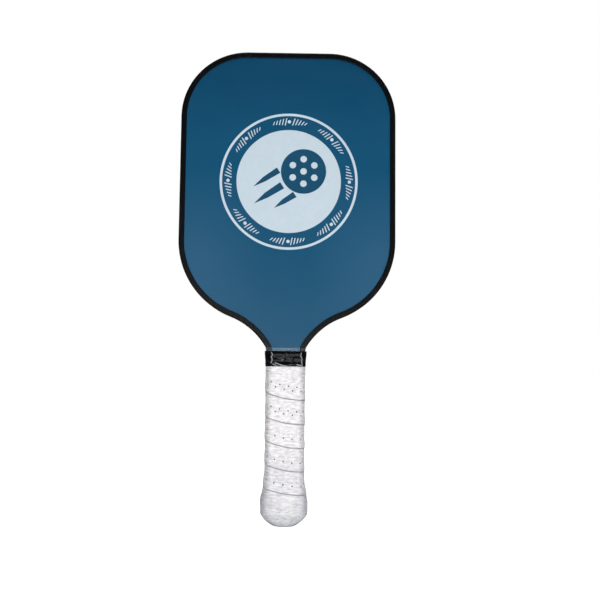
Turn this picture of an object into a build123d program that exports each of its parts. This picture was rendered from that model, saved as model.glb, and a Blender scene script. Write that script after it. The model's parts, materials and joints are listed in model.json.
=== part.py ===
from build123d import *
import math
import os

# Pickleball paddle, in millimetres. It stands on its butt end: the origin is the centre
# of that end, +Z runs up the handle to the top of the head, X is across the head and
# -Y is the front. Outlines are drawn in the XZ plane, where a sketch's second axis is
# the paddle's Z. Plane.XZ faces -Y, so the plane at an offset of h lies at Y = -h.

os.makedirs("parts", exist_ok=True)

# ---- driving dimensions ----------------------------------------------------------------

# head outline, measured over the edge guard
LENGTH = 415.6
HALF_WIDTH = 95.25
TOP_CORNER_R = 59.0
SHOULDER_R = 71.7  # convex arc from the side in to the neck
SHOULDER_Z = 246.1  # height where that arc leaves the straight side
NECK_R = 63.0  # concave arc from the shoulder down to the throat
NECK_REACH = 8.7  # half width that the neck arc would shrink to if it ran on
THROAT_R = 6.0  # tight concave arc that ends the neck
THROAT_HALF = 17.1  # half width below the throat, where the guard ends

# layers of the head
CORE_T = 13.0
FILM_T = 0.15
FACE_T = 0.5

# honeycomb
CELL_FLATS = 14.0  # across the flats of one cell
CELL_WALL = 0.6
CELL_RIM = 0.8  # solid rim left round the core's outline
CELL_MIN_AREA = 4.0  # a clipped cell smaller than this is left solid

# edge guard
GUARD_WEB = 1.2
GUARD_TAPE_T = 0.2
GUARD_TAPE_MARGIN = 0.4  # how far the tape stops short of the panel's corners
GUARD_LIP = 0.9
GUARD_BAND = 5.0  # width of the guard as seen from the front
GUARD_OUTER_R = 1.5
GUARD_LIP_R = 0.4
GUARD_FOOT_Z = 147.0

# handle, measured over the grip
GRIP_HALF_WIDTH = 17.1
GRIP_HALF_DEPTH = 13.5
BEVEL_X = 3.5  # corner bevels of the eight-sided handle
BEVEL_Y = 5.5
SKIN_T = 1.2
CUSHION_T = 1.0
GRIP_LOW_Z = 12.5
GRIP_TOP_Z = 142.0
FLARE_TOP_Z = 50.0  # the handle widens below this height
FLARE_FULL_Z = 22.0  # and is at its widest from here down
FLARE_RISE = 3.15
FLARE_STEPS = 7

# tongue and pads inside the handle
TONGUE_LOW_Z = 9.0
TONGUE_SHOULDER_Z = 143.5  # the tongue has narrowed to the handle's width at this height
PAD_END_DEPTH = 8.1  # half depth of the handle where the pads' slope ends

# butt cap
CAP_SKIRT_Z = 34.0
CAP_FLAT_SHARE = 0.42  # size of the flat end against the cap's rim
CAP_CONE_SHARE = 0.7  # the end rises this share of the way to the rim as a shallow cone
CAP_TURN_POWER = 6  # and the rest in a turn that starts this late
CAP_DOME_STEPS = 8

# staples
STAPLE_WIRE = 0.6
STAPLE_CROWN = 9.0
STAPLE_LEG = 5.0
CAP_STAPLE_Z = 28.0
CAP_STAPLE_DEPTH = 13.1  # half depth of the crowns' outer faces
GRIP_STAPLE_Z = 14.0
GRIP_STAPLE_DEPTH = 15.1

# tapes round the top of the grip
TAPE_GAP = 0.04  # air between one wound layer and the next
COLLAR_LOW_Z = 136.2
COLLAR_BEND_Z = 142.3
COLLAR_HEAD_Z = 147.4
COLLAR_TOP_Z = 149.4
COLLAR_T = 0.35
BAND_LOW_Z = 147.6
BAND_TOP_Z = 152.4
BAND_T = 0.15
BAND_BEVEL = 0.9

# ---- sizes that follow -----------------------------------------------------------------

PANEL_INSET = GUARD_WEB + GUARD_TAPE_T
CORE_HALF = CORE_T / 2
FACE_INNER_Y = CORE_HALF + FILM_T
PANEL_HALF = FACE_INNER_Y + FACE_T
GUARD_HALF = PANEL_HALF + GUARD_LIP
GRIP_T = SKIN_T + CUSHION_T
TONGUE_HALF = GRIP_HALF_WIDTH - GRIP_T
PAD_HALF_DEPTH = GRIP_HALF_DEPTH - GRIP_T

# centres of the arcs: each touches the next, so their distance is set by their radii
SHOULDER_X = HALF_WIDTH - SHOULDER_R
NECK_X = NECK_REACH + NECK_R
NECK_Z = SHOULDER_Z - math.sqrt((SHOULDER_R + NECK_R) ** 2 - (NECK_X - SHOULDER_X) ** 2)
THROAT_X = THROAT_HALF + THROAT_R
THROAT_Z = NECK_Z + math.sqrt((NECK_R - THROAT_R) ** 2 - (NECK_X - THROAT_X) ** 2)

BAND_HALF_WIDTH = THROAT_X - math.sqrt(THROAT_R**2 - (BAND_TOP_Z - THROAT_Z) ** 2) + TAPE_GAP + BAND_T
BAND_HALF_DEPTH = GUARD_HALF + TAPE_GAP + BAND_T


# ---- outlines --------------------------------------------------------------------------


def outline(inset, foot_z, foot_half=None):
    """Closed outline of the head, parallel to the guard's outer edge and inset from it.

    Below the throat the sides run straight down to foot_z, or slope in first to
    foot_half from the middle.
    """
    turn = math.degrees(math.atan2(SHOULDER_Z - NECK_Z, NECK_X - SHOULDER_X))
    throat_turn = math.degrees(math.atan2(THROAT_Z - NECK_Z, NECK_X - THROAT_X))
    with BuildLine() as lines:
        Line((0, LENGTH - inset), (HALF_WIDTH - TOP_CORNER_R, LENGTH - inset))
        corner = CenterArc(
            (HALF_WIDTH - TOP_CORNER_R, LENGTH - TOP_CORNER_R), TOP_CORNER_R - inset, 90, -90
        )
        Line(corner @ 1, (HALF_WIDTH - inset, SHOULDER_Z))
        CenterArc((SHOULDER_X, SHOULDER_Z), SHOULDER_R - inset, 0, -turn)
        CenterArc((NECK_X, NECK_Z), NECK_R + inset, 180 - turn, turn - throat_turn)
        side = CenterArc((THROAT_X, THROAT_Z), THROAT_R + inset, 180 - throat_turn, throat_turn)
        if foot_half is not None:
            drop = Line(side @ 1, (THROAT_HALF - inset, GUARD_FOOT_Z))
            side = Line(drop @ 1, (foot_half, TONGUE_SHOULDER_Z))
        end = side @ 1
        run = Line(end, (end.X, foot_z))
        Line(run @ 1, (0, foot_z))
        mirror(about=Plane.YZ)
    return lines.line


def octagon(half_width, half_depth, bevel_x=BEVEL_X, bevel_y=BEVEL_Y, inset=0.0):
    """Corners of an eight-sided section, moved in by inset on every side."""
    slant = math.hypot(bevel_x, bevel_y)
    reach = bevel_y * half_width + bevel_x * half_depth - bevel_x * bevel_y - inset * slant
    wide = half_width - inset
    deep = half_depth - inset
    flat_x = (reach - bevel_x * deep) / bevel_y
    flat_y = (reach - bevel_y * wide) / bevel_x
    right = [(flat_x, deep), (wide, flat_y), (wide, -flat_y), (flat_x, -deep)]
    return right + [(-x, y) for x, y in reversed(right)]


def flare(z):
    """How far the grip stands out beyond its straight part at height z."""
    share = (FLARE_TOP_Z - z) / (FLARE_TOP_Z - FLARE_FULL_Z)
    return FLARE_RISE * min(max(share, 0.0), 1.0) ** 2


def handle_level(z, inset):
    """Height and section of the handle there, inset from the grip's surface."""
    wider = flare(z)
    return z, octagon(GRIP_HALF_WIDTH + wider, GRIP_HALF_DEPTH + wider, inset=inset)


def handle_levels(low_z, top_z, inset):
    """Levels of the handle that follow its flare between two heights."""
    step = (FLARE_TOP_Z - FLARE_FULL_Z) / FLARE_STEPS
    bends = [FLARE_FULL_Z + step * i for i in range(FLARE_STEPS + 1)]
    heights = [low_z] + [z for z in bends if low_z < z < top_z] + [top_z]
    return [handle_level(z, inset) for z in heights]


def loft_levels(levels, mode=Mode.ADD):
    """Straight-sided loft through (height, corners) levels, inside a BuildPart."""
    sketches = []
    for z, corners in levels:
        with BuildSketch(Plane.XY.offset(z), mode=Mode.PRIVATE) as level:
            Polygon(*corners, align=None)
        sketches.append(level.sketch)
    loft(sections=sketches, ruled=True, mode=mode)


def above_guard_foot(edge):
    """True for an edge that isn't in the plane where the guard ends."""
    return edge.center().Z > GUARD_FOOT_Z + 0.1


def on_guard_face(edge):
    """True for an edge that lies in the guard's front or back face."""
    return abs(abs(edge.center().Y) - GUARD_HALF) < 0.01


def finish(piece, name):
    """Label a piece and write its file."""
    piece.label = name
    export_step(piece, f"parts/{name}.step")


# ---- head ------------------------------------------------------------------------------


def honeycomb_cells():
    """Hexagonal holes of the core, clipped to a rim inside its outline."""
    pitch = CELL_FLATS + CELL_WALL
    across = math.ceil(2 * HALF_WIDTH / (pitch * math.sqrt(3) / 2)) + 2
    up = math.ceil(LENGTH / pitch) + 2
    with BuildSketch(mode=Mode.PRIVATE) as rim:
        with BuildLine():
            add(outline(PANEL_INSET + CELL_RIM, TONGUE_LOW_Z + CELL_RIM, TONGUE_HALF - CELL_RIM))
        make_face()
    with BuildSketch(mode=Mode.PRIVATE) as hexagon:
        RegularPolygon(CELL_FLATS / 2, 6, major_radius=False)
    with Locations((0, LENGTH / 2)):
        with HexLocations(pitch / 2, across, up) as grid:
            places = grid.locations
    inside = rim.sketch.face()
    cells = []
    for place in places:
        cell = place * hexagon.sketch.face()
        held = [inside.is_inside(corner.center()) for corner in cell.vertices()]
        if all(held):
            cells.append(cell)
        elif any(held):
            cells += [piece for piece in (cell & inside).faces() if piece.area > CELL_MIN_AREA]
    return cells


cells = honeycomb_cells()
with BuildPart() as honeycomb_core:
    with BuildSketch(Plane.XZ.offset(-CORE_HALF)):
        with BuildLine():
            add(outline(PANEL_INSET, TONGUE_LOW_Z, TONGUE_HALF))
        make_face()
        add(cells, mode=Mode.SUBTRACT)
    extrude(amount=CORE_T, clean=False)
finish(honeycomb_core.part, "honeycomb_core")

# flat sheets: distance of the inner side from the middle, thickness, and +1 for the front
SHEETS = {
    "front_bond_film": (CORE_HALF, FILM_T, 1),
    "back_bond_film": (CORE_HALF, FILM_T, -1),
    "front_face": (FACE_INNER_Y, FACE_T, 1),
    "back_face": (FACE_INNER_Y, FACE_T, -1),
}
for name, (inner_y, thickness, side) in SHEETS.items():
    with BuildPart() as layer:
        with BuildSketch(Plane.XZ.offset(side * inner_y)):
            with BuildLine():
                add(outline(PANEL_INSET, TONGUE_LOW_Z, TONGUE_HALF))
            make_face()
        extrude(amount=side * thickness)
    finish(layer.part, name)

# U-channel: a solid plate rounded at its rim, opened by the window that the face shows
# through, then slotted for the panel's edge
with BuildPart() as edge_guard:
    with BuildSketch(Plane.XZ):
        with BuildLine():
            add(outline(0, GUARD_FOOT_Z))
        make_face()
    extrude(amount=GUARD_HALF, both=True)
    rim_edges = edge_guard.faces().filter_by(Axis.Y).edges().filter_by(above_guard_foot)
    fillet(rim_edges, radius=GUARD_OUTER_R)
    with BuildSketch(Plane.XZ):
        with BuildLine():
            add(outline(GUARD_BAND, GUARD_FOOT_Z))
        make_face()
    extrude(amount=GUARD_HALF, both=True, mode=Mode.SUBTRACT)
    lip_edges = edge_guard.edges(Select.LAST).filter_by(above_guard_foot).filter_by(on_guard_face)
    fillet(lip_edges, radius=GUARD_LIP_R)
    with BuildSketch(Plane.XZ):
        with BuildLine():
            add(outline(GUARD_WEB, GUARD_FOOT_Z))
        make_face()
    extrude(amount=PANEL_HALF, both=True, mode=Mode.SUBTRACT)
finish(edge_guard.part, "edge_guard")

with BuildPart() as edge_guard_tape:
    with BuildSketch(Plane.XZ):
        with BuildLine():
            add(outline(GUARD_WEB, GUARD_FOOT_Z))
        make_face()
        with BuildLine():
            add(outline(PANEL_INSET, GUARD_FOOT_Z))
        make_face(mode=Mode.SUBTRACT)
    extrude(amount=PANEL_HALF - GUARD_TAPE_MARGIN, both=True)
finish(edge_guard_tape.part, "edge_guard_tape")

# ---- handle ----------------------------------------------------------------------------


def staple(z, depth):
    """Staple pressed into the handle's front, its crown level and depth from the middle."""
    crown_y = STAPLE_WIRE / 2 - depth
    leg_y = STAPLE_LEG / 2 - depth
    with Locations((0, crown_y, z)):
        Box(STAPLE_CROWN, STAPLE_WIRE, STAPLE_WIRE)
    leg_x = (STAPLE_CROWN - STAPLE_WIRE) / 2
    with Locations((-leg_x, leg_y, z), (leg_x, leg_y, z)):
        Box(STAPLE_WIRE, STAPLE_LEG, STAPLE_WIRE)


with BuildPart() as butt_cap_staples:
    staple(CAP_STAPLE_Z, CAP_STAPLE_DEPTH)
    mirror(about=Plane.XZ)
finish(butt_cap_staples.part, "butt_cap_staples")

with BuildPart() as front_staple:
    staple(GRIP_STAPLE_Z, GRIP_STAPLE_DEPTH)
with BuildPart() as grip_staple:
    mirror(front_staple.part, about=Plane.XZ)
finish(grip_staple.part, "grip_staple")

# each pad lies on one face of the tongue and slopes down to it under the collar
with BuildPart() as front_pad:
    loft_levels(
        [
            (TONGUE_LOW_Z, octagon(GRIP_HALF_WIDTH, GRIP_HALF_DEPTH, inset=GRIP_T)),
            (GUARD_FOOT_Z, octagon(GRIP_HALF_WIDTH, GRIP_HALF_DEPTH, inset=GRIP_T)),
        ]
    )
    with BuildSketch(Plane.YZ):
        Polygon(
            (-PANEL_HALF, TONGUE_LOW_Z),
            (-PANEL_HALF, GUARD_FOOT_Z),
            (-PAD_END_DEPTH, GUARD_FOOT_Z),
            (-PAD_HALF_DEPTH, GRIP_TOP_Z),
            (-PAD_HALF_DEPTH, TONGUE_LOW_Z),
            align=None,
        )
    extrude(amount=TONGUE_HALF, both=True, mode=Mode.INTERSECT)
with BuildPart() as front_handle_pad:
    add(front_pad.part)
    add(butt_cap_staples.part, mode=Mode.SUBTRACT)
finish(front_handle_pad.part, "front_handle_pad")
with BuildPart() as back_handle_pad:
    mirror(front_pad.part, about=Plane.XZ)
    add(butt_cap_staples.part, mode=Mode.SUBTRACT)
    add(grip_staple.part, mode=Mode.SUBTRACT)
finish(back_handle_pad.part, "back_handle_pad")


def dome_level(rise):
    """Level of the cap's rounded end, where rise goes from 0 at the flat to 1 at the rim."""
    share = CAP_FLAT_SHARE + (1 - CAP_FLAT_SHARE) * rise
    width = (GRIP_HALF_WIDTH + FLARE_RISE) * share
    depth = (GRIP_HALF_DEPTH + FLARE_RISE) * share
    z = GRIP_LOW_Z * (CAP_CONE_SHARE * rise + (1 - CAP_CONE_SHARE) * rise**CAP_TURN_POWER)
    return z, octagon(width, depth, BEVEL_X * share, BEVEL_Y * share)


with BuildPart() as butt_cap:
    loft_levels([dome_level(i / CAP_DOME_STEPS) for i in range(CAP_DOME_STEPS + 1)])
    loft_levels(handle_levels(GRIP_LOW_Z, CAP_SKIRT_Z, GRIP_T))
    with BuildSketch(Plane.XY.offset(TONGUE_LOW_Z)):
        Polygon(*octagon(GRIP_HALF_WIDTH, GRIP_HALF_DEPTH, inset=GRIP_T), align=None)
    extrude(amount=CAP_SKIRT_Z - TONGUE_LOW_Z, mode=Mode.SUBTRACT)
    add(butt_cap_staples.part, mode=Mode.SUBTRACT)
    add(grip_staple.part, mode=Mode.SUBTRACT)
finish(butt_cap.part, "butt_cap")

with BuildPart() as grip_cushion:
    loft_levels(handle_levels(GRIP_LOW_Z, GRIP_TOP_Z, SKIN_T))
    loft_levels(handle_levels(GRIP_LOW_Z, GRIP_TOP_Z, GRIP_T), mode=Mode.SUBTRACT)
    add(grip_staple.part, mode=Mode.SUBTRACT)
finish(grip_cushion.part, "grip_cushion")

with BuildPart() as grip_tape:
    loft_levels(handle_levels(GRIP_LOW_Z, GRIP_TOP_Z, 0))
    loft_levels(handle_levels(GRIP_LOW_Z, GRIP_TOP_Z, SKIN_T), mode=Mode.SUBTRACT)
finish(grip_tape.part, "grip_tape")

# ---- tapes round the top of the grip ---------------------------------------------------


def band_section(inset):
    """Section of the clear band that lies on the guard's two ends."""
    return octagon(BAND_HALF_WIDTH, BAND_HALF_DEPTH, BAND_BEVEL, BAND_BEVEL, inset)


def collar_levels(out):
    """Levels of the finishing tape, out from the grip below and the band above."""
    below = octagon(GRIP_HALF_WIDTH, GRIP_HALF_DEPTH, inset=-out)
    above = band_section(-out)
    heights = (COLLAR_LOW_Z, COLLAR_BEND_Z, COLLAR_HEAD_Z, COLLAR_TOP_Z)
    return list(zip(heights, (below, below, above, above)))


with BuildPart() as clear_band:
    loft_levels([(z, band_section(0)) for z in (BAND_LOW_Z, BAND_TOP_Z)])
    loft_levels([(z, band_section(BAND_T)) for z in (BAND_LOW_Z, BAND_TOP_Z)], mode=Mode.SUBTRACT)
finish(clear_band.part, "clear_band")

with BuildPart() as finishing_tape:
    loft_levels(collar_levels(TAPE_GAP + COLLAR_T))
    loft_levels(collar_levels(TAPE_GAP), mode=Mode.SUBTRACT)
finish(finishing_tape.part, "finishing_tape")
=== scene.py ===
import json
import math
import random

import bmesh
import bpy
import numpy as np
from mathutils import Matrix, Vector, noise


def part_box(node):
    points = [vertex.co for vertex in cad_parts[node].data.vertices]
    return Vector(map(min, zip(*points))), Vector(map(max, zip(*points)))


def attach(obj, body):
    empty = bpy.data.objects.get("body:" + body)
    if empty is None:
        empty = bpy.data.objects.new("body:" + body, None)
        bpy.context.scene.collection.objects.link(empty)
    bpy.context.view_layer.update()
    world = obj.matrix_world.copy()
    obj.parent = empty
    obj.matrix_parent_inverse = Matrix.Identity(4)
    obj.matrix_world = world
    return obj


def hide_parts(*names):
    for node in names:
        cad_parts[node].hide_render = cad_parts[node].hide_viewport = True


# Looks of the pickleball paddle. It stands on its butt end with its front towards -Y.
# Lengths are in millimetres up to the point where a mesh is made, and metres after that.

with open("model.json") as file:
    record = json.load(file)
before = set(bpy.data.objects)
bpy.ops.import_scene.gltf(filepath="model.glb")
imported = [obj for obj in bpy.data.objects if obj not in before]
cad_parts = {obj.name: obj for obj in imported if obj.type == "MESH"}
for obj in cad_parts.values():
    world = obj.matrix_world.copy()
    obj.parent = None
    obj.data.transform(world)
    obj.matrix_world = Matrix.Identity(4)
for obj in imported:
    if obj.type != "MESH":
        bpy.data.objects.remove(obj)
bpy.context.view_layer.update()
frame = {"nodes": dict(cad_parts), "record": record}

MM = 0.001


def node_box(name):
    """Lowest and highest corner of a CAD node, in millimetres."""
    low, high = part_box(name)
    return low / MM, high / MM


# ---- node materials --------------------------------------------------------------------


def srgb(red, green, blue):
    """Linear colour of an 8-bit display colour."""
    linear = []
    for channel in (red, green, blue):
        share = channel / 255
        linear.append(share / 12.92 if share <= 0.04045 else ((share + 0.055) / 1.055) ** 2.4)
    return (*linear, 1.0)


# a mix node has one set of sockets for each kind of data, so its colours go by number
MIX_FIRST_COLOUR = 6
MIX_SECOND_COLOUR = 7
MIX_COLOUR_RESULT = 2
# nearly all of a noise's values lie between these
NOISE_LOW = 0.3
NOISE_HIGH = 0.7


class Look:
    """A material on one Principled shader, textured in the paddle's own coordinates."""

    def __init__(self, name, **constants):
        self.material = bpy.data.materials.new(name)
        self.material.use_nodes = True
        self.tree = self.material.node_tree
        self.shader = self.tree.nodes["Principled BSDF"]
        for socket, value in constants.items():
            self.shader.inputs[socket.replace("_", " ")].default_value = value

    def node(self, kind, inputs, **settings):
        """New shader node with its settings, and each input set or linked."""
        made = self.tree.nodes.new(kind)
        for key, value in settings.items():
            setattr(made, key, value)
        for key, value in inputs.items():
            if isinstance(value, bpy.types.NodeSocket):
                self.tree.links.new(value, made.inputs[key])
            else:
                made.inputs[key].default_value = value
        return made

    def place(self):
        """Where a point lies in the paddle's own coordinates, in metres."""
        return self.node("ShaderNodeTexCoord", {}).outputs["Object"]

    def coordinate(self, axis):
        """That place along X, Y or Z."""
        return self.node("ShaderNodeSeparateXYZ", {"Vector": self.place()}).outputs[axis]

    def noise(self, size, stretch=(1, 1, 1), detail=3.0):
        """Cloudy value from 0 to 1 whose features are about size millimetres."""
        scale = tuple(1 / (size * MM * along) for along in stretch)
        scaled = self.node("ShaderNodeMapping", {"Vector": self.place(), "Scale": scale})
        inputs = {"Vector": scaled.outputs["Vector"], "Scale": 1.0, "Detail": detail}
        return self.node("ShaderNodeTexNoise", inputs).outputs["Fac"]

    def cells(self, size):
        """Distance to the nearest of points that lie about size millimetres apart."""
        inputs = {"Vector": self.place(), "Scale": 1 / (size * MM)}
        return self.node("ShaderNodeTexVoronoi", inputs).outputs["Distance"]

    def attribute(self, name):
        """Value that store() gave the piece's points."""
        return self.node("ShaderNodeAttribute", {}, attribute_name=name).outputs["Fac"]

    def span(self, value, start, end, low, high):
        """Value, held between start and end, as a share of the way from low to high."""
        inputs = {"Value": value, "From Min": start, "From Max": end, "To Min": low, "To Max": high}
        return self.node("ShaderNodeMapRange", inputs).outputs["Result"]

    def uneven(self, value, low, high):
        """A noise's usual range spread over the range from low to high."""
        return self.span(value, NOISE_LOW, NOISE_HIGH, low, high)

    def mix(self, factor, first, second):
        """Colour from first to second."""
        inputs = {0: factor, MIX_FIRST_COLOUR: first, MIX_SECOND_COLOUR: second}
        return self.node("ShaderNodeMix", inputs, data_type="RGBA").outputs[MIX_COLOUR_RESULT]

    def math(self, operation, *values):
        """Result of a math node's operation on the values."""
        return self.node("ShaderNodeMath", dict(enumerate(values)), operation=operation).outputs[0]

    def bump(self, height, depth, under=None):
        """Normal of a relief that is depth millimetres deep, over another relief."""
        inputs = {"Height": height, "Distance": depth * MM, "Strength": 1.0}
        if under is not None:
            inputs["Normal"] = under
        return self.node("ShaderNodeBump", inputs).outputs["Normal"]

    def set(self, socket, value):
        """Drive one of the shader's sockets with a node's result."""
        self.tree.links.new(value, self.shader.inputs[socket])


DEEP_Z = (330 * MM, 400 * MM)  # painted shade deepens the blue between these heights
PALE_Z = (310 * MM, 235 * MM)  # and a painted sheen pales it between these, going down,
PALE_X = (20 * MM, 76 * MM)  # as far as it lies between these from the middle


def blue_skin():
    """Printed, finely gritted face sheet, with painted shade darkening it at the top and a painted
    sheen paling its low corners.
    """
    look = Look("blue_skin", Specular_IOR_Level=0.15)
    print_colour = look.mix(look.noise(90, detail=2.0), srgb(3, 73, 107), srgb(9, 79, 113))
    height = look.coordinate("Z")
    # painted shade: the blue darkens towards the top
    deep = look.span(height, *DEEP_Z, 0.0, 1.0)
    deepened = look.mix(deep, print_colour, srgb(2, 66, 98))
    aside = look.math("ABSOLUTE", look.coordinate("X"))
    # painted sheen: the blue pales towards the low corners
    low = look.span(height, *PALE_Z, 0.0, 1.0)
    pale = look.math("MULTIPLY", low, look.span(aside, *PALE_X, 0.0, 1.0))
    faded = look.mix(pale, deepened, srgb(34, 86, 119))
    speck = look.span(look.noise(0.5), 0.62, 0.8, 0.0, 0.35)
    look.set("Base Color", look.mix(speck, faded, srgb(22, 94, 128)))
    look.set("Roughness", look.span(look.noise(14, (3, 1, 1)), 0.35, 0.7, 0.36, 0.46))
    weave = look.bump(look.noise(1.6, (4, 1, 1)), 0.012)
    look.set("Normal", look.bump(look.noise(0.45, detail=1.0), 0.02, weave))
    return look.material


def guard_black():
    """Moulded edge guard: satin black, scuffed lighter in streaks."""
    look = Look("guard_black", Specular_IOR_Level=0.09)
    scuff = look.span(look.noise(3.0, (1, 1, 5)), 0.55, 0.75, 0.0, 1.0)
    look.set("Base Color", look.mix(scuff, srgb(9, 11, 13), srgb(19, 21, 24)))
    look.set("Roughness", look.uneven(look.noise(1.2), 0.2, 0.3))
    look.set("Normal", look.bump(look.noise(0.35), 0.015))
    return look.material


def white_grip():
    """Soft polyurethane skin with pores under a clear gloss, with painted glints in streaks,
    painted shade in its creases, seams and holes, and painted shade on its sides near the butt end.
    """
    look = Look("white_grip", Specular_IOR_Level=0.4, Coat_Weight=1.0, Coat_Roughness=0.07)
    look.shader.inputs["Subsurface Weight"].default_value = 0.12
    look.shader.inputs["Subsurface Radius"].default_value = (0.9, 0.7, 0.6)
    look.shader.inputs["Subsurface Scale"].default_value = 0.8 * MM
    # painted glints: streaks of the skin are lighter
    streak = look.span(look.noise(1.5, (3, 3, 1), detail=5.0), 0.36, 0.64, 0.0, 1.0)
    skin = look.mix(streak, srgb(211, 208, 212), srgb(251, 248, 248))
    # painted shade: thin crease lines on the bevels are darkened
    line = look.span(look.noise(1.2, (6, 6, 1), detail=2.0), 0.5, 0.68, 0.0, 0.6)
    lines = look.math("MULTIPLY", line, look.attribute("bevel"))
    lined = look.mix(lines, skin, srgb(172, 173, 180))
    # painted shade on the sides near the butt end, and the whole lower grip greyed
    handled = look.mix(look.attribute("worn"), lined, srgb(166, 168, 177))
    # painted shade in the seams' grooves and along the turns' edges
    seam = look.mix(look.attribute("seam"), handled, srgb(116, 115, 121))
    # painted shade darkens the punched holes
    look.set("Base Color", look.mix(look.attribute("pit"), seam, srgb(26, 25, 29)))
    look.set("Roughness", look.uneven(look.noise(2.0), 0.38, 0.55))
    creases = look.bump(look.noise(1.3, (7, 7, 1)), 0.8)
    look.set("Normal", look.bump(look.cells(0.55), 0.06, creases))
    look.set("Coat Normal", look.bump(look.noise(3.6, (1.6, 1.6, 1)), 3.0, creases))
    return look.material


def cap_white():
    """Moulded butt cap: smooth white plastic with painted glints in faint streaks and painted shade
    on its sides.
    """
    look = Look("cap_white", Specular_IOR_Level=0.45, Coat_Weight=0.8, Coat_Roughness=0.12)
    # painted glints: streaks of the cap are lighter
    flow = look.span(look.noise(2.0, (2, 2, 1), detail=4.0), 0.36, 0.64, 0.0, 1.0)
    white = look.mix(flow, srgb(204, 205, 209), srgb(236, 237, 239))
    # painted shade on the cap's sides
    look.set("Base Color", look.mix(look.attribute("worn"), white, srgb(166, 168, 177)))
    look.set("Roughness", look.uneven(look.noise(1.5), 0.3, 0.42))
    look.set("Normal", look.bump(look.noise(0.6), 0.02))
    look.set("Coat Normal", look.bump(look.noise(4.0, (1.4, 1.4, 1)), 2.6))
    return look.material


def black_tape():
    """Glossy vinyl tape with a fine stretched relief, and painted glints along its creases."""
    look = Look("black_tape", Specular_IOR_Level=0.08)
    dust = look.span(look.noise(0.8), 0.58, 0.8, 0.0, 0.5)
    vinyl = look.mix(dust, srgb(4, 5, 7), srgb(12, 13, 16))
    # painted glints along the creases
    look.set("Base Color", look.mix(look.attribute("strain"), vinyl, srgb(176, 178, 182)))
    look.set("Roughness", look.uneven(look.noise(2.5), 0.09, 0.16))
    look.set("Normal", look.bump(look.noise(0.9, (4, 4, 1)), 0.04))
    return look.material


def clear_tape():
    """Clear band, slightly milky, that lets the print show through."""
    look = Look("clear_tape", Specular_IOR_Level=0.5)
    milk = look.noise(2.5, (3, 1, 1))
    look.set("Base Color", look.mix(milk, srgb(120, 150, 170), srgb(190, 205, 214)))
    look.set("Roughness", look.uneven(look.noise(1.0), 0.15, 0.3))
    look.set("Alpha", look.span(look.attribute("sunk"), 0, 1, 0.07, 0.24))
    look.set("Normal", look.bump(look.noise(1.2, (3, 1, 1)), 0.04))
    return look.material


def ink(name, first, second):
    """Screen-printed ink: slightly uneven cover with the sheet's grit under it."""
    look = Look(name, Specular_IOR_Level=0.18)
    look.set("Base Color", look.mix(look.noise(5), first, second))
    look.set("Roughness", look.uneven(look.noise(2.0), 0.4, 0.5))
    look.set("Normal", look.bump(look.noise(0.45, detail=1.0), 0.015))
    return look.material


def hidden_plastic(name, first, second, size, smoothest, roughest):
    """Plain moulded or rolled stuff inside the paddle, mottled at the given size."""
    look = Look(name)
    look.set("Base Color", look.mix(look.noise(size), first, second))
    look.set("Roughness", look.uneven(look.noise(size / 3), smoothest, roughest))
    look.set("Normal", look.bump(look.noise(size / 8), 0.02))
    return look.material


def core_plastic():
    """Cloudy polypropylene of the honeycomb."""
    return hidden_plastic("core_plastic", srgb(214, 222, 220), srgb(232, 236, 234), 4, 0.32, 0.48)


def bond_film():
    """Set adhesive, the colour of weak honey."""
    return hidden_plastic("bond_film", srgb(206, 190, 146), srgb(222, 208, 170), 6, 0.22, 0.38)


def adhesive_tape():
    """Pale double-sided tape."""
    return hidden_plastic("adhesive_tape", srgb(224, 222, 208), srgb(238, 236, 226), 3, 0.52, 0.68)


def pad_wood():
    """Light wood with its grain along the handle."""
    look = Look("pad_wood")
    grain = look.span(look.noise(1.4, (1, 1, 30)), 0.35, 0.65, 0.0, 1.0)
    look.set("Base Color", look.mix(grain, srgb(206, 176, 132), srgb(232, 208, 168)))
    look.set("Roughness", look.uneven(look.noise(2.0, (1, 1, 12)), 0.6, 0.75))
    look.set("Normal", look.bump(grain, 0.06))
    return look.material


def staple_steel():
    """Drawn steel wire."""
    look = Look("staple_steel", Metallic=1.0)
    drawn = look.noise(0.15, (12, 1, 1))
    look.set("Base Color", look.mix(drawn, srgb(168, 170, 174), srgb(206, 207, 210)))
    look.set("Roughness", look.uneven(drawn, 0.25, 0.4))
    look.set("Normal", look.bump(drawn, 0.01))
    return look.material


def felt():
    """Needled felt backing."""
    look = Look("felt")
    fibre = look.noise(0.6, (3, 1, 1), detail=6.0)
    look.set("Base Color", look.mix(fibre, srgb(205, 204, 200), srgb(234, 233, 229)))
    look.set("Roughness", look.uneven(fibre, 0.85, 0.95))
    look.set("Normal", look.bump(fibre, 0.15))
    return look.material


LOOKS = {
    "blue_skin": blue_skin(),
    "guard_black": guard_black(),
    "white_grip": white_grip(),
    "cap_white": cap_white(),
    "black_tape": black_tape(),
    "clear_tape": clear_tape(),
    "pale_ink": ink("pale_ink", srgb(188, 206, 216), srgb(199, 212, 221)),
    "blue_ink": ink("blue_ink", srgb(4, 68, 99), srgb(10, 74, 105)),
    "core_plastic": core_plastic(),
    "bond_film": bond_film(),
    "adhesive_tape": adhesive_tape(),
    "pad_wood": pad_wood(),
    "staple_steel": staple_steel(),
    "felt": felt(),
}

slot_of = {piece["node"]: piece["material_slot"] for piece in frame["record"]["subparts"]}
for name, cad_node in frame["nodes"].items():
    for material_slot in cad_node.material_slots:
        material_slot.material = LOOKS[slot_of[name]]


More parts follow.
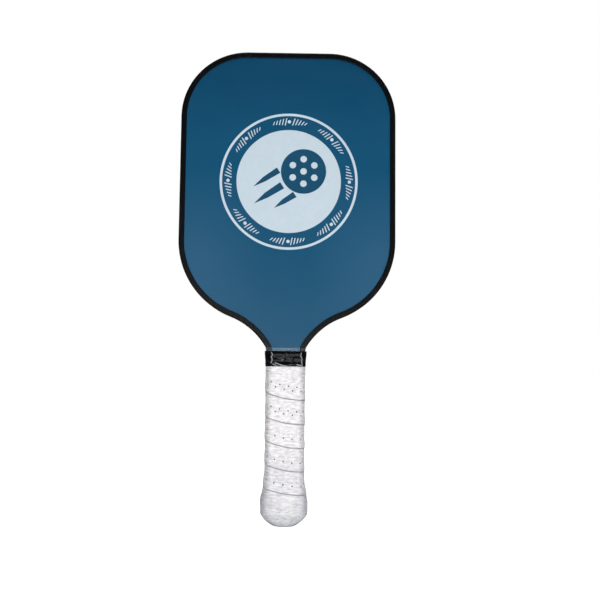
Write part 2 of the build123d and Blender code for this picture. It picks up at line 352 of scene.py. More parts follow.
def add_piece(name, points, faces, slot, replaced=()):
    """New smooth-shaded piece that rides on the paddle, from points in millimetres."""
    mesh = bpy.data.meshes.new(name)
    mesh.from_pydata([tuple(MM * value for value in point) for point in points], [], faces)
    mesh.materials.append(LOOKS[slot])
    mesh.shade_smooth()
    piece = bpy.data.objects.new(name, mesh)
    bpy.context.scene.collection.objects.link(piece)
    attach(piece, "root")
    if replaced:
        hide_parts(*replaced)
    return piece


# ---- section of the handle -------------------------------------------------------------

GRIP_HALF_WIDTH = 17.1
GRIP_HALF_DEPTH = 13.5
BEVEL_X = 3.5
BEVEL_Y = 5.5
GRIP_CORNER_R = 4.5
FLARE_TOP_Z = 50.0  # the handle starts to flare here, going down, and is widest here
FLARE_FULL_Z = 22.0
FLARE_RISE = 3.15
ARC_POINTS = 6  # on each rounded corner


def section(half_width, half_depth, bevel_x, bevel_y, radius):
    """Points and outward normals of an eight-sided section with rounded corners.

    They run anticlockwise, seen from above, from the middle of the back.
    """
    slant = math.hypot(bevel_x, bevel_y)
    reach = bevel_y * half_width + bevel_x * half_depth - bevel_x * bevel_y - radius * slant
    wide = half_width - radius
    deep = half_depth - radius
    flat_x = (reach - bevel_x * deep) / bevel_y
    flat_y = (reach - bevel_y * wide) / bevel_x
    centres = [(-flat_x, deep), (-wide, flat_y), (-wide, -flat_y), (-flat_x, -deep)]
    centres += [(flat_x, -deep), (wide, -flat_y), (wide, flat_y), (flat_x, deep)]
    tilt = math.degrees(math.atan2(bevel_x, bevel_y))
    facing = [90, 180 - tilt, 180, 180 + tilt, 270, 360 - tilt, 360, 360 + tilt, 450]
    places = [(0.0, half_depth)]
    normals = [(0.0, 1.0)]
    for corner, centre in enumerate(centres):
        for degrees in np.linspace(facing[corner], facing[corner + 1], ARC_POINTS):
            normal = (math.cos(math.radians(degrees)), math.sin(math.radians(degrees)))
            places.append((centre[0] + radius * normal[0], centre[1] + radius * normal[1]))
            normals.append(normal)
    places.append(places[0])
    normals.append(normals[0])
    return np.array(places), np.array(normals)


def at_shares(places, normals, shares):
    """The section's points and normals at shares of its way round."""
    steps = np.hypot(*np.diff(places, axis=0).T)
    reached = np.concatenate([[0], np.cumsum(steps)])
    wanted = np.mod(shares, 1.0) * reached[-1]
    point = np.stack([np.interp(wanted, reached, places[:, axis]) for axis in (0, 1)], -1)
    normal = np.stack([np.interp(wanted, reached, normals[:, axis]) for axis in (0, 1)], -1)
    return point, normal / np.linalg.norm(normal, axis=-1, keepdims=True), reached[-1]


def flare(z):
    """How far the grip stands out beyond its straight part at height z."""
    share = np.clip((FLARE_TOP_Z - z) / (FLARE_TOP_Z - FLARE_FULL_Z), 0, 1)
    return FLARE_RISE * share**2


def flare_direction(point):
    """Way that a point of the straight section moves as the handle flares."""
    corner = np.array([GRIP_HALF_WIDTH - BEVEL_X, GRIP_HALF_DEPTH - BEVEL_Y])
    return np.clip(point / corner, -1, 1)


def smooth_step(value):
    """0 below 0, 1 above 1, and a smooth rise between."""
    held = np.clip(value, 0, 1)
    return held * held * (3 - 2 * held)


def tube_faces(columns, rows, shift=0):
    """Quads of a grid that closes on itself, its last column joined shift rows lower."""
    faces = []
    for column in range(columns):
        across = (column + 1) % columns
        drop = shift if across == 0 else 0
        for row in range(drop, rows - 1):
            here = row * columns + column
            there = (row - drop) * columns + across
            faces.append((here, there, there + columns, here + columns))
    return faces


def store(piece, name, values):
    """Give each of the piece's points a value that its material reads."""
    attribute = piece.data.attributes.new(name, "FLOAT", "POINT")
    attribute.data.foreach_set("value", values.ravel().astype(np.float32))


def grid_noise(across, up, wide, high, seed):
    """Cloudy value from -1 to 1 at each place of a grid, its features about wide by high."""
    places = zip((across / wide).ravel(), (up / high).ravel())
    return np.array([noise.noise(Vector((x, y, seed))) for x, y in places]).reshape(across.shape)


# ---- wound grip ------------------------------------------------------------------------

TURN_PITCH = 19.8  # height of one turn of the tape
FIRST_SEAM_Z = 29.1  # height of the lowest seam at the middle of the front
FIRST_RISE = 19.0  # from that seam to the next one
RISE_GAIN = 0.24  # how much further apart the seams lie from turn to turn
SIDE_LIFT = 2.4  # the seam runs this much higher at the sides than a true helix
LOW_TURN = -2  # the grid's turns go below and above the handle and are then trimmed
HIGH_TURN = 7
SEAM_FIRST = -1.25  # turns at which the seam starts and ends, and how long each takes
SEAM_LAST = 4.0
SEAM_FADE = 0.3
EDGE_RISE = 0.5  # how far a turn's lower edge stands out over the turn below
EDGE_MEAN = 0.8  # share of that rise that there is on average, and how far it varies
EDGE_SWAY = 0.35
SWAY_TURNS = 1 / 3  # turns over which it varies
EDGE_ROUND = 0.5
OVERLAP_FLAT = 4.5
OVERLAP_END = 9.0
GROOVE_DEPTH = 0.25
GROOVE_WIDTH = 1.1
GROOVE_SHADE = 0.6  # how far painted shade greys the groove
SEAM_SHADE = 0.75  # height over which painted shade greys a turn's edge
HOLES_PER_TURN = 15
HOLE_HEIGHTS = (7.2, 10.2)  # of the two rows, above the seam
HOLE_PHASE = -1.1  # from the middle of the front to the nearest hole of the lower row
HOLE_INNER = 0.48
HOLE_OUTER = 0.7
HOLE_DEPTH = 0.55
FINE_STEP = 0.24
FINE_STEPS = 3  # fine grid steps on each side of a hole's centre
HOLED_TURNS = 5
UPPER_CLOSED = 0.25  # how open the upper row of holes is in the lower turns
UPPER_OPEN_TURN = 2.3
UPPER_OPEN_RUN = 0.4
HOLE_CLEAR = 2  # there are no holes this close to the collar
WRINKLE = 0.11
SHORT_SHARE = 0.6  # height of the short wrinkles beside the long ones
PUFF = 1.2 * WRINKLE
CALM_RUN = 3  # height over which the wrinkles die out under the collar
WORN_SHARE = 0.5  # how far painted shade greys the sides near the butt end
WORN_START = 0.3  # share of the way out to the side at which that starts
WORN_TOP_Z = 46.0
WORN_RUN = 26.0
FLAT_FACING = 0.995  # the handle's front and back are where a normal's Y is past this
FLAT_RUN = 0.08
EVEN_SHARE = 0.2  # how far the whole lower grip is greyed
EVEN_TOP_Z = 72.0
TAPER_START = 1.3  # the tape's end thins out this far above the collar's lower edge
TAPER_RUN = 4.5
TAPER_DEPTH = 1.8
EDGE_HEIGHTS = [0.0, 0.06, 0.16, 0.32, 0.6, 1.1, 1.9]  # grid rows close to the seam
REST_HEIGHTS = [2.9, 3.9, 4.9, 5.8, 8.3, 9.1, 11.4, 12.3, 13.3, 14.3, 15.3, 16.3]
TOP_HEIGHTS = [17.2, 18.0, 18.7, 19.2, 19.5]  # and close to the next turn's seam
FINE_OFFSETS = [FINE_STEP * step for step in range(-FINE_STEPS, FINE_STEPS + 1)]
COLUMNS_BETWEEN = 3  # grid columns between the fine ones of two holes


def tape_heights():
    """Heights above the seam of the grid's rows, close together at the edge and the holes."""
    holed = [height + offset for height in HOLE_HEIGHTS for offset in FINE_OFFSETS]
    return np.array(sorted(EDGE_HEIGHTS + REST_HEIGHTS + TOP_HEIGHTS + holed))


def tape_columns(girth):
    """The grid's columns: share of the way round, distance to a hole, and if it is a low one."""
    count = 2 * HOLES_PER_TURN
    gap = girth / count
    rest = np.linspace(FINE_OFFSETS[-1], gap + FINE_OFFSETS[0], COLUMNS_BETWEEN + 2)[1:-1]
    distances = [*FINE_OFFSETS, *rest]
    shares = []
    for hole in range(count):
        shares += [(hole * gap + distance + HOLE_PHASE) / girth for distance in distances]
    lower_row = np.repeat(np.arange(count) % 2 == HOLES_PER_TURN % 2, len(distances))
    return np.array(shares), np.tile(distances, count), lower_row


def greyed(outward):
    """How much painted shade greys a point, from its share of the way out to the side."""
    return WORN_SHARE * smooth_step((outward - WORN_START) / (1 - WORN_START))


def seam_relief(along, above):
    """How far the tape stands out at a turn's lower edge, and how much painted shade greys it
    there.
    """
    begun = smooth_step((along - SEAM_FIRST) / SEAM_FADE)
    seam = begun * (1 - smooth_step((along - SEAM_LAST) / SEAM_FADE))
    rounded = np.sqrt(1 - (1 - np.clip(above / EDGE_ROUND, 0, 1)) ** 2)
    fall = 1 - smooth_step((above - OVERLAP_FLAT) / (OVERLAP_END - OVERLAP_FLAT))
    groove = smooth_step((above - TURN_PITCH + GROOVE_WIDTH) / GROOVE_WIDTH)
    sway = EDGE_MEAN + EDGE_SWAY * grid_noise(along, 0 * along, SWAY_TURNS, 1, 1.0)
    out = EDGE_RISE * rounded * fall * seam * sway - GROOVE_DEPTH * groove * seam
    shade = smooth_step(1 - above / SEAM_SHADE) * seam + groove * seam * GROOVE_SHADE
    return out, np.clip(shade, 0, 1)


def wrinkle_relief(length, height):
    """Wrinkles and puffed places, mostly long ones that run along the tape."""
    long = grid_noise(length, height, 9, 1.5, 4.0)
    short = grid_noise(length, height, 4, 3, 9.0)
    puffed = grid_noise(length, height, 14, 7, 2.0)
    return WRINKLE * (long + SHORT_SHARE * short) + PUFF * puffed


def hole_pits(from_hole, lower_row, along, above):
    """1 in the punched holes; the upper row is all but closed in the lower turns."""
    row_height = np.where(lower_row, *HOLE_HEIGHTS)
    away = np.hypot(from_hole, above - row_height)
    pit = 1 - smooth_step((away - HOLE_INNER) / (HOLE_OUTER - HOLE_INNER))
    opened = smooth_step((along - UPPER_OPEN_TURN) / UPPER_OPEN_RUN)
    upper_open = UPPER_CLOSED + (1 - UPPER_CLOSED) * opened
    return pit * np.where(lower_row, 1.0, upper_open)


def make_grip():
    """White tape wound up the handle: overlapping turns, punched holes and wrinkles."""
    places, normals = section(GRIP_HALF_WIDTH, GRIP_HALF_DEPTH, BEVEL_X, BEVEL_Y, GRIP_CORNER_R)
    girth = at_shares(places, normals, np.array([0.0]))[2]
    shares, from_hole, lower_row = tape_columns(girth)
    point, normal, _ = at_shares(places, normals, shares)
    heights = tape_heights()
    turns = np.repeat(np.arange(LOW_TURN, HIGH_TURN), len(heights))[:, None]
    above = np.tile(heights, HIGH_TURN - LOW_TURN)[:, None]
    wound = turns + above / TURN_PITCH
    along = wound - shares
    behind = 0.5 - shares
    lift = wound + behind
    z = FIRST_SEAM_Z + FIRST_RISE * lift + RISE_GAIN * lift**2
    z = z + SIDE_LIFT * (1 - np.cos(4 * math.pi * behind)) / 2

    collar_low = node_box("finishing_tape")[0].z
    out, seam = seam_relief(along, above)
    length = (shares - turns) * girth
    calm = smooth_step((collar_low + 1 - z) / CALM_RUN)
    out = out + wrinkle_relief(length, above + 0 * length) * calm
    out = out - TAPER_DEPTH * smooth_step((z - collar_low - TAPER_START) / TAPER_RUN)
    holed = (turns >= 0) * (turns < HOLED_TURNS) * smooth_step(collar_low - HOLE_CLEAR - z)
    pit = hole_pits(from_hole, lower_row, along, above) * holed
    out = out - HOLE_DEPTH * pit

    spread = flare(z)[..., None] * flare_direction(point)
    flat = point + spread + out[..., None] * normal
    points = np.concatenate([flat, z[..., None]], -1).reshape(-1, 3)
    faces = tube_faces(len(shares), len(above), len(heights))
    grip = add_piece("wound_grip", points.tolist(), faces, "white_grip", ["grip_tape"])
    off_front = smooth_step((FLAT_FACING - np.abs(normal[:, 1])) / FLAT_RUN)
    store(grip, "bevel", np.broadcast_to(off_front, z.shape))
    # painted shade on the sides near the butt end; the whole lower grip is also greyed
    outward = np.abs(flat[..., 0]) / (GRIP_HALF_WIDTH + FLARE_RISE)
    worn = greyed(outward) * smooth_step((WORN_TOP_Z - z) / WORN_RUN)
    store(grip, "worn", worn + EVEN_SHARE * smooth_step((EVEN_TOP_Z - z) / WORN_RUN))
    # painted shade darkens the punched holes
    store(grip, "pit", pit)
    # painted shade in the seams' grooves and along the turns' edges
    store(grip, "seam", seam)
    trim(grip, *(corner.z for corner in node_box("grip_tape")))


def trim(piece, low, high):
    """Cut an open tube at two heights and turn its ends in."""
    shell = bmesh.new()
    shell.from_mesh(piece.data)
    for height, is_low in ((low, True), (high, False)):
        bmesh.ops.bisect_plane(
            shell,
            geom=shell.verts[:] + shell.edges[:] + shell.faces[:],
            plane_co=(0, 0, height * MM),
            plane_no=(0, 0, 1),
            clear_inner=is_low,
            clear_outer=not is_low,
        )
    rim = [edge for edge in shell.edges if edge.is_boundary]
    for part in bmesh.ops.extrude_edge_only(shell, edges=rim)["geom"]:
        if isinstance(part, bmesh.types.BMVert):
            inward = Vector((-part.co.x, -part.co.y, 0)).normalized()
            part.co += inward * MM
    bmesh.ops.recalc_face_normals(shell, faces=shell.faces[:])
    shell.to_mesh(piece.data)
    shell.free()


# ---- butt cap --------------------------------------------------------------------------

CAP_FLAT_SHARE = 0.42
CAP_CONE_SHARE = 0.55  # the end rises this share of the way to the rim as a shallow cone
CAP_TURN_POWER = 3.5  # and the rest in a turn that starts this late
CAP_FOOT_ROUND = 0.09
CAP_CORNER_R = 6.5
CAP_LEVELS = 34
CAP_COLUMNS = 200
CAP_OVAL_SHARE = 0.45  # the section has turned oval where it has shrunk by this share
CAP_LIP = 0.5  # the cap's rim rolls in this far to meet the tape
CAP_ROLL = 0.4 * CAP_LIP
CAP_RIM_WIDTH = 3.0
# the dimple, as its share of the section and its height, each as a share of the full one
DIMPLE_LEVELS = [(0.6, 1.0), (0.9, 1.0), (1.0, 0.6), (1.1, 0.0)]
DIMPLE_SHARE = 0.2
DIMPLE_DEPTH = 0.6


def cone_height(rise):
    """Height of the end's cone with its rounded foot, as a share of the way to the rim."""
    return CAP_CONE_SHARE * (math.hypot(rise, CAP_FOOT_ROUND) - CAP_FOOT_ROUND)


def cap_levels(rim_z):
    """Share of the section and height of each level, from the dimple up to the rim."""
    levels = [(DIMPLE_SHARE * share, DIMPLE_DEPTH * depth) for share, depth in DIMPLE_LEVELS]
    for rise in np.linspace(0, 1, CAP_LEVELS):
        turn = (1 - cone_height(1)) * rise**CAP_TURN_POWER
        share = CAP_FLAT_SHARE + (1 - CAP_FLAT_SHARE) * rise
        levels.append((share, (rim_z - CAP_LIP) * (cone_height(rise) + turn)))
    return levels


def make_cap():
    """Rounded white end of the handle, with a shallow moulding dimple in its flat."""
    low, high = node_box("grip_tape")
    rim_z = low.z
    places, normals = section(high.x, high.y, BEVEL_X, BEVEL_Y, CAP_CORNER_R)
    rim, normal, _ = at_shares(places, normals, np.arange(CAP_COLUMNS) / CAP_COLUMNS)
    oval = rim / np.hypot(rim[:, 0] / high.x, rim[:, 1] / high.y)[:, None]
    points = []
    for share, z in cap_levels(rim_z):
        rounded = smooth_step((1 - share) / CAP_OVAL_SHARE)
        points += [(x, y, z) for x, y in (rim * (1 - rounded) + oval * rounded) * share]
    for inset, z in ((CAP_ROLL, rim_z - CAP_ROLL), (CAP_LIP, rim_z), (CAP_RIM_WIDTH, rim_z)):
        points += [(x, y, z) for x, y in rim - inset * normal]
    faces = tube_faces(CAP_COLUMNS, len(points) // CAP_COLUMNS)
    faces.append(tuple(reversed(range(CAP_COLUMNS))))
    cap = add_piece("rounded_cap", points, faces, "cap_white", ["butt_cap"])
    # painted shade on the cap's sides
    store(cap, "worn", greyed(np.abs([point[0] for point in points]) / high.x))


# ---- finishing tape and clear band -----------------------------------------------------

GUARD_FACE_Y = node_box("edge_guard")[1].y
SKIN_Y = node_box("front_face")[0].y
TAPE_COLUMNS = 300
TAPE_ROWS = 56
TAPE_SHARES = np.arange(TAPE_COLUMNS) / TAPE_COLUMNS
COLLAR_OUT = 0.39  # outer side of the tape over the grip
COLLAR_OVER_GUARD = 0.58  # and over the guard
COLLAR_BEND_Z = 138.4  # between these it steps in from the grip to the guard
COLLAR_HEAD_Z = 148.9
COLLAR_BEVEL = 0.9
COLLAR_CORNER_R = 1.2
COLLAR_TURN_IN = 0.9  # how far its two ends turn inwards
COLLAR_SAG = 0.25  # how far its lower edge strays from level
BEND_STRAY = 0.5  # how far the step strays from level, in a long and a short wave
BEND_SHORT_STRAY = 0.2
SAG_RUN = 2
SKIN_RELIEF = 0.06
SMALL_CREASES = 70
SMALL_LEAN = (5, 65)  # degrees from level, to either side
SMALL_LENGTH = (2, 7)
SMALL_WIDTH = (0.25, 0.5)
SMALL_HEIGHT = (0.03, 0.12)
SMALL_STRAIN = 0.05  # the most that a painted glint lightens the tape along a small crease
FRONT_HEIGHT = 0.42  # of a crease of the front, and how wide it is
FRONT_WIDTH = 0.42
RELIEF_RUN = 0.8  # creases and their painted glints fade out this close to the tape's edges
RELIEF_KEPT = 0.15
STRAIN_RUN = 0.4
# creases of the front, as (across, height) from end to end: the left corner's zigzag, the
# fold at its foot, the right corner's zigzag, its fold, and the stretched lower edge
FRONT_CREASES = [
    [(-13.4, 148.2), (-12.2, 146.2), (-13.0, 144.4), (-11.8, 142.0), (-12.4, 139.2)],
    [(-11.2, 138.4), (-8.4, 137.0), (-5.4, 135.7)],
    [(14.6, 148.0), (14.0, 145.2), (14.7, 142.6), (13.8, 140.0), (14.4, 137.6)],
    [(9.6, 137.9), (12.2, 137.5), (14.6, 136.6)],
    [(-5.0, 137.6), (0.0, 136.5), (6.0, 136.2), (12.0, 136.4)],
    [(-9.0, 139.2), (-3.0, 137.2), (1.0, 136.6)],
]


def crease(across, height, start, end, width):
    """Ridge from 0 to 1 along a straight line on the wound tape."""
    run = np.subtract(end, start)
    share = ((across - start[0]) * run[0] + (height - start[1]) * run[1]) / (run @ run)
    share = np.clip(share, 0, 1)
    away = np.hypot(across - start[0] - share * run[0], height - start[1] - share * run[1])
    return np.exp(-((away / width) ** 2))


def collar_creases(across, height):
    """Relief of the collar's creases, and how much a painted glint lightens each point along them.
    """
    relief = SKIN_RELIEF * grid_noise(across, height, 3, 1.6, 3.0)
    strain = 0 * relief
    chance = random.Random(7)
    side = -across.min()
    for _ in range(SMALL_CREASES):
        start = np.array([chance.uniform(-side, side), chance.uniform(height.min(), height.max())])
        lean = math.radians(chance.choice((-1, 1)) * chance.uniform(*SMALL_LEAN))
        run = chance.uniform(*SMALL_LENGTH) * np.array([math.cos(lean), math.sin(lean)])
        ridge = crease(across, height, start, start + run, chance.uniform(*SMALL_WIDTH))
        size = chance.uniform(*SMALL_HEIGHT)
        relief = relief + size * ridge
        strain = np.maximum(strain, SMALL_STRAIN * ridge * size / SMALL_HEIGHT[1])
    for line in FRONT_CREASES:
        for start, end in zip(line, line[1:]):
            ridge = crease(across, height, start, end, FRONT_WIDTH)
            relief = np.maximum(relief, FRONT_HEIGHT * ridge)
            strain = np.maximum(strain, ridge**2)
    edge = np.minimum(height - height.min(), height.max() - height)
    relief = relief * smooth_step(edge / RELIEF_RUN + RELIEF_KEPT)
    return relief, strain * smooth_step(edge / STRAIN_RUN)


def make_collar():
    """Black tape that closes the grip, pulled into creases where it steps in to the guard."""
    low, high = node_box("finishing_tape")
    wide = GRIP_HALF_WIDTH + COLLAR_OUT
    deep = GRIP_HALF_DEPTH + COLLAR_OUT
    grip_section = section(wide, deep, BEVEL_X, BEVEL_Y, GRIP_CORNER_R)
    head_deep = GUARD_FACE_Y + COLLAR_OVER_GUARD
    head_section = section(high.x, head_deep, COLLAR_BEVEL, COLLAR_BEVEL, COLLAR_CORNER_R)
    below, below_normal, girth = at_shares(*grip_section, TAPE_SHARES)
    above, above_normal, _ = at_shares(*head_section, TAPE_SHARES)
    z = np.linspace(low.z, high.z, TAPE_ROWS)[:, None]
    across = (TAPE_SHARES - 0.5) * girth + 0 * z
    height = z + 0 * across
    wavy = height + BEND_STRAY * grid_noise(across, height, 4, 4, 7.0)
    wavy = wavy + BEND_SHORT_STRAY * grid_noise(across, height, 1.5, 2, 1.0)
    rise = smooth_step((wavy - COLLAR_BEND_Z) / (COLLAR_HEAD_Z - COLLAR_BEND_Z))[..., None]
    flat = below * (1 - rise) + above * rise
    normal = below_normal * (1 - rise) + above_normal * rise
    relief, strain = collar_creases(across, height)
    flat = flat + relief[..., None] * normal
    near_foot = smooth_step(1 - (z - low.z) / SAG_RUN)
    sag = COLLAR_SAG * grid_noise(across, 0 * height, 9, 1, 6.0) * near_foot
    outer = np.concatenate([flat, (height + sag)[..., None]], -1)
    ends = []
    for row, facing in ((outer[0], below_normal), (outer[-1], above_normal)):
        inward = COLLAR_TURN_IN * facing
        ends.append(row - np.concatenate([inward, 0 * inward[:, :1]], -1))
    points = np.concatenate([ends[0][None], outer, ends[1][None]]).reshape(-1, 3)
    faces = tube_faces(TAPE_COLUMNS, TAPE_ROWS + 2)
    collar = add_piece("creased_collar", points.tolist(), faces, "black_tape", ["finishing_tape"])
    # painted glints along the creases
    store(collar, "strain", np.pad(strain, ((1, 1), (0, 0))))


BAND_ROWS = 14
BAND_BEVEL = 0.9
BAND_CORNER_R = 0.8
BAND_OVER_SKIN = 0.08
BAND_RELIEF = 0.06
BAND_LIFT = 0.2  # share of that relief by which the band stands off all over
BAND_STRAY = 0.35  # how far its upper edge strays from level
LIP_X = 12.1  # half width between the guard's lips, where the band sinks to the face
LIP_RUN = 0.7


def make_band():
    """Clear band above the collar: it bridges the guard and sinks between its lips."""
    low, high = node_box("clear_band")
    places = section(high.x, high.y, BAND_BEVEL, BAND_BEVEL, BAND_CORNER_R)
    flat, normal, girth = at_shares(*places, TAPE_SHARES)
    z = np.linspace(low.z, high.z, BAND_ROWS)[:, None]
    sunk = smooth_step((LIP_X + LIP_RUN / 2 - np.abs(flat[:, 0])) / LIP_RUN)
    depth = np.abs(flat[:, 1]) * (1 - sunk) + (abs(SKIN_Y) + BAND_OVER_SKIN) * sunk
    flat = np.stack([flat[:, 0], np.sign(flat[:, 1]) * depth], -1)
    across = (TAPE_SHARES - 0.5) * girth + 0 * z
    relief = BAND_RELIEF * (grid_noise(across, z + 0 * across, 3, 1.2, 5.0) + BAND_LIFT)
    wave = BAND_STRAY * grid_noise(across, 0 * across, 7, 1, 8.0)
    height = z + wave * smooth_step((z - low.z) / (high.z - low.z))
    points = np.concatenate([flat + relief[..., None] * normal, height[..., None]], -1)
    points = points.reshape(-1, 3).tolist()
    faces = tube_faces(TAPE_COLUMNS, BAND_ROWS)
    band = add_piece("clear_wrap", points, faces, "clear_tape", ["clear_band"])
    store(band, "sunk", sunk + 0 * z)


# ---- printed emblem --------------------------------------------------------------------

EMBLEM_X = 0.8
EMBLEM_Z = 299.0
RING_R = 61.0
RING_LINE = 2.2
DISC_R = 46.1
MARKS = 8
ROUND_POINTS = 128
SMALL_ROUND_POINTS = 32
INK_STEP = 0.03  # thickness of one printed layer
PALE_LEVEL = 1  # layers of ink up to the top of the pale print, the ball and its holes
BALL_LEVEL = 2
HOLE_LEVEL = 3
BALL_X = 13.0
BALL_Z = 9.0
BALL_R = 20.0
BALL_HOLE_R = 2.9
BALL_HOLE_RING = 11.0
BALL_HOLES = 6
STROKE_LEAN = 214  # direction in which the strokes trail from the ball
STROKE_GAP = 2.6  # between the ball and the strokes
STROKE_WAIST = 0.55  # share of its length up to which a stroke keeps nearly all of its width
STROKE_BELOW = 0.42  # shares of its width on each side of its middle line there
STROKE_ABOVE = 0.36
STROKES = [(-13.0, 27, 5.6), (0.0, 30, 6.6), (13.0, 22, 5.6)]  # side step, length, width
MARK_R = 53.6  # middle of the channel between the disc and the ring
MARK_DOT_R = 1.5
MARK_DOT_GAP = 1.5
MARK_BARS = 5
MARK_BAR_STEP = 2.7
MARK_BAR_WIDTH = 0.95
MARK_BAR_HEIGHT = 6.4
MARK_BAR_SHRINK = 0.15  # share of that height which each bar is lower than the one before
MARK_BAR_LEAN = 0.9


def circle(x, z, radius, count):
    """Anticlockwise points of a circle in the emblem's plane."""
    angles = [2 * math.pi / count * step for step in range(count)]
    return [(x + radius * math.cos(angle), z + radius * math.sin(angle)) for angle in angles]


def turned(points, degrees, x, z):
    """Points turned anticlockwise about the origin and then moved."""
    cos = math.cos(math.radians(degrees))
    sin = math.sin(math.radians(degrees))
    return [(x + a * cos - b * sin, z + a * sin + b * cos) for a, b in points]


def around(radius, degrees):
    """Place at a radius from the origin, its angle clockwise from the top."""
    return radius * math.sin(math.radians(degrees)), radius * math.cos(math.radians(degrees))


class Print:
    """One colour of ink on one side of the paddle, gathered into a single thin piece."""

    def __init__(self, name, slot, side):
        self.name = name
        self.slot = slot
        self.side = side
        self.points = []
        self.faces = []

    def raise_points(self, outline, level):
        """Add an outline's points, level layers of ink above the face sheet."""
        start = len(self.points)
        depth = abs(SKIN_Y) + INK_STEP * level
        for x, z in outline:
            self.points.append((self.side * (EMBLEM_X + x), -self.side * depth, EMBLEM_Z + z))
        return start

    def patch(self, outline, level):
        """Filled outline with its edge wall."""
        top = self.raise_points(outline, level)
        foot = self.raise_points(outline, 0)
        count = len(outline)
        self.faces.append(tuple(range(top, top + count)))
        self.wall(top, foot, count)

    def wall(self, first, second, count):
        """Strip of quads between two closed rows of points."""
        for i in range(count):
            j = (i + 1) % count
            self.faces.append((first + i, second + i, second + j, first + j))

    def ring(self, outer, inner, level):
        """Flat ring about the emblem's middle, with its two edge walls."""
        outside = circle(0, 0, outer, ROUND_POINTS)
        inside = circle(0, 0, inner, ROUND_POINTS)
        out_top = self.raise_points(outside, level)
        in_top = self.raise_points(inside, level)
        out_foot = self.raise_points(outside, 0)
        in_foot = self.raise_points(inside, 0)
        self.wall(in_top, out_top, ROUND_POINTS)
        self.wall(out_top, out_foot, ROUND_POINTS)
        self.wall(in_foot, in_top, ROUND_POINTS)

    def finish(self):
        """Make the piece, with flat faces and sharp edges."""
        piece = add_piece(self.name, self.points, self.faces, self.slot)
        piece.data.shade_flat()


def stroke(length, width):
    """Speed stroke from a blunt end at the origin to a point."""
    half = width / 2
    waist = STROKE_WAIST * length
    below = (waist, -STROKE_BELOW * width)
    above = (waist, STROKE_ABOVE * width)
    return [(0, -half), below, (length, 0), above, (0, half)]


def slanted_bar(height):
    """Bar across the origin that leans to the right, its left edge through the origin."""
    half = height / 2
    left = [(-MARK_BAR_LEAN, -half), (MARK_BAR_LEAN, half)]
    right = [(x + MARK_BAR_WIDTH, z) for x, z in left]
    return [left[0], right[0], right[1], left[1]]


def print_mark(pale, degrees):
    """Small dot between two rows of shrinking bars, their tops towards the ring."""
    pale.patch(circle(*around(MARK_R, degrees), MARK_DOT_R, SMALL_ROUND_POINTS), PALE_LEVEL)
    for bar in range(MARK_BARS):
        outline = slanted_bar(MARK_BAR_HEIGHT * (1 - MARK_BAR_SHRINK * bar))
        offset = MARK_DOT_R + MARK_DOT_GAP + MARK_BAR_STEP * bar
        for along in (offset, -offset - MARK_BAR_WIDTH):
            # the row of bars follows the channel's curve
            turn = degrees + math.degrees((along + MARK_BAR_WIDTH / 2) / MARK_R)
            pale.patch(turned(outline, -turn, *around(MARK_R, turn)), PALE_LEVEL)


def make_emblem(where, side):
    """Round emblem: pale ring and disc, small marks between, and a ball in flight."""
    pale = Print(f"{where}_emblem_pale", "pale_ink", side)
    pale.ring(RING_R, RING_R - RING_LINE, PALE_LEVEL)
    pale.patch(circle(0, 0, DISC_R, ROUND_POINTS), PALE_LEVEL)
    for mark in range(MARKS):
        print_mark(pale, mark * 360 / MARKS)
    pale.finish()

    blue = Print(f"{where}_emblem_blue", "blue_ink", side)
    blue.patch(circle(BALL_X, BALL_Z, BALL_R, ROUND_POINTS), BALL_LEVEL)
    for side_step, length, width in STROKES:
        reach = math.sqrt(BALL_R**2 - side_step**2) + STROKE_GAP
        outline = [(reach + a, side_step + b) for a, b in stroke(length, width)]
        blue.patch(turned(outline, STROKE_LEAN, BALL_X, BALL_Z), BALL_LEVEL)
    blue.finish()

    holes = Print(f"{where}_emblem_holes", "pale_ink", side)
    holes.patch(circle(BALL_X, BALL_Z, BALL_HOLE_R, SMALL_ROUND_POINTS), HOLE_LEVEL)
    for hole in range(BALL_HOLES):
        angle = 2 * math.pi * (hole + 0.5) / BALL_HOLES
        x = BALL_X + BALL_HOLE_RING * math.cos(angle)
        z = BALL_Z + BALL_HOLE_RING * math.sin(angle)
        holes.patch(circle(x, z, BALL_HOLE_R, SMALL_ROUND_POINTS), HOLE_LEVEL)
    holes.finish()


make_grip()
make_cap()
make_collar()
make_band()
make_emblem("front", 1)
make_emblem("back", -1)

# ---- camera ----------------------------------------------------------------------------

AIM = Vector((0, 0, 208)) * MM
CAMERA_DISTANCE = 734 * MM
CAMERA_TILT = math.radians(5.0)  # it looks up at the paddle
CAMERA_YAW = math.radians(-0.6)
CAMERA_ROLL = math.radians(0.709)
LENS = 49.93
SENSOR = 36.0
SHIFT_X = 0.0226
SHIFT_Y = -0.0257


def make_camera():
    """Camera of the photo, in front of the paddle and a little below its middle."""
    camera = bpy.data.objects.new("camera", bpy.data.cameras.new("camera"))
    bpy.context.scene.collection.objects.link(camera)
    flat = CAMERA_DISTANCE * math.cos(CAMERA_TILT)
    fall = CAMERA_DISTANCE * math.sin(CAMERA_TILT)
    away = Vector((flat * math.sin(CAMERA_YAW), -flat * math.cos(CAMERA_YAW), -fall))
    facing = (-away).to_track_quat("-Z", "Y").to_matrix() @ Matrix.Rotation(CAMERA_ROLL, 3, "Z")
    camera.matrix_world = Matrix.Translation(AIM + away) @ facing.to_4x4()
    camera.data.lens = LENS
    camera.data.sensor_width = SENSOR
    camera.data.shift_x = SHIFT_X
    camera.data.shift_y = SHIFT_Y
    camera.data.clip_start = 0.01
    bpy.context.scene.camera = camera


# ---- floor and light -------------------------------------------------------------------

FLOOR_HALF = 6.0  # metres
WORLD_SHOWN = 1.0  # as the camera sees it
WORLD_LIGHT = 0.14  # as the paddle sees it
FLOOR_SHOWN = 1.0  # added to the floor where the camera sees it


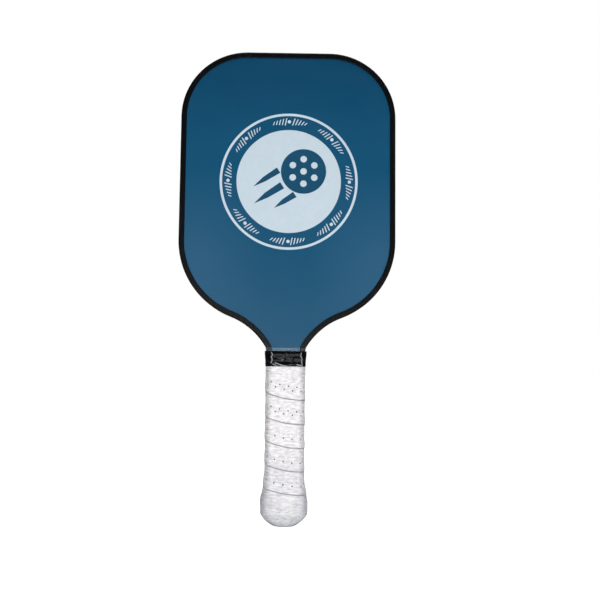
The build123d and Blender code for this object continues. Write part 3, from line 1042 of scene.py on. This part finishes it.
def make_floor():
    """Wide matt floor, which the camera sees as plain white."""
    corners = [(x * FLOOR_HALF, y * FLOOR_HALF, 0) for x, y in ((-1, -1), (1, -1), (1, 1), (-1, 1))]
    mesh = bpy.data.meshes.new("floor")
    mesh.from_pydata(corners, [], [(0, 1, 2, 3)])
    look = Look("floor", Specular_IOR_Level=0.0, Roughness=0.9)
    look.set("Base Color", look.mix(look.noise(60), srgb(222, 222, 224), srgb(230, 230, 232)))
    # the camera sees a white sweep, and the paddle is lit by a softer one
    glow = look.node("ShaderNodeEmission", {"Color": (1, 1, 1, 1), "Strength": FLOOR_SHOWN})
    shown = look.node("ShaderNodeAddShader", {0: glow.outputs[0], 1: look.shader.outputs[0]})
    path = look.node("ShaderNodeLightPath", {})
    inputs = {0: path.outputs["Is Camera Ray"], 1: look.shader.outputs[0], 2: shown.outputs[0]}
    mixed = look.node("ShaderNodeMixShader", inputs)
    look.tree.links.new(mixed.outputs[0], look.tree.nodes["Material Output"].inputs["Surface"])
    mesh.materials.append(look.material)
    floor = bpy.data.objects.new("floor", mesh)
    bpy.context.scene.collection.objects.link(floor)


def make_world():
    """White where the camera looks past the paddle, and a softer fill for everything else."""
    world = bpy.data.worlds.new("studio")
    world.use_nodes = True
    bpy.context.scene.world = world
    tree = world.node_tree
    shown = tree.nodes["Background"]
    shown.inputs["Color"].default_value = (1, 1, 1, 1)
    shown.inputs["Strength"].default_value = WORLD_SHOWN
    light = tree.nodes.new("ShaderNodeBackground")
    light.inputs["Color"].default_value = (0.98, 0.99, 1, 1)
    light.inputs["Strength"].default_value = WORLD_LIGHT
    path = tree.nodes.new("ShaderNodeLightPath")
    mixed = tree.nodes.new("ShaderNodeMixShader")
    tree.links.new(path.outputs["Is Camera Ray"], mixed.inputs["Fac"])
    tree.links.new(light.outputs["Background"], mixed.inputs[1])
    tree.links.new(shown.outputs["Background"], mixed.inputs[2])
    tree.links.new(mixed.outputs["Shader"], tree.nodes["World Output"].inputs["Surface"])


def add_softbox(name, place, target, width, height, watts):
    """Area light at place, facing target, both in metres."""
    light = bpy.data.lights.new(name, "AREA")
    light.shape = "RECTANGLE"
    light.size = width
    light.size_y = height
    light.energy = watts
    softbox = bpy.data.objects.new(name, light)
    bpy.context.scene.collection.objects.link(softbox)
    facing = (Vector(target) - Vector(place)).to_track_quat("-Z", "Y").to_matrix().to_4x4()
    softbox.matrix_world = Matrix.Translation(place) @ facing
    softbox.visible_camera = False


make_camera()
make_floor()
make_world()
MIDDLE = (0, 0, 0.22)
GRIP_FRONT = (0, 0, 0.16)
add_softbox("key", (0.25, -1.2, 2.3), MIDDLE, 1.4, 1.0, 28.5)
add_softbox("low_front", (0, -0.66, 0.05), GRIP_FRONT, 0.2, 0.1, 1.4)
add_softbox("low_left", (-0.35, -1.2, 0.12), MIDDLE, 0.5, 0.35, 2.2)
add_softbox("low_right", (0.42, -1.2, 0.1), MIDDLE, 0.4, 0.3, 1.5)
add_softbox("left_side", (-1.6, -0.5, 0.7), MIDDLE, 0.8, 1.2, 0.8)
add_softbox("right_side", (1.6, -0.5, 0.7), MIDDLE, 0.8, 1.2, 2.4)
add_softbox("behind", (0.3, 1.6, 1.4), MIDDLE, 1.2, 1.0, 12)

bpy.context.scene.view_settings.view_transform = "Standard"
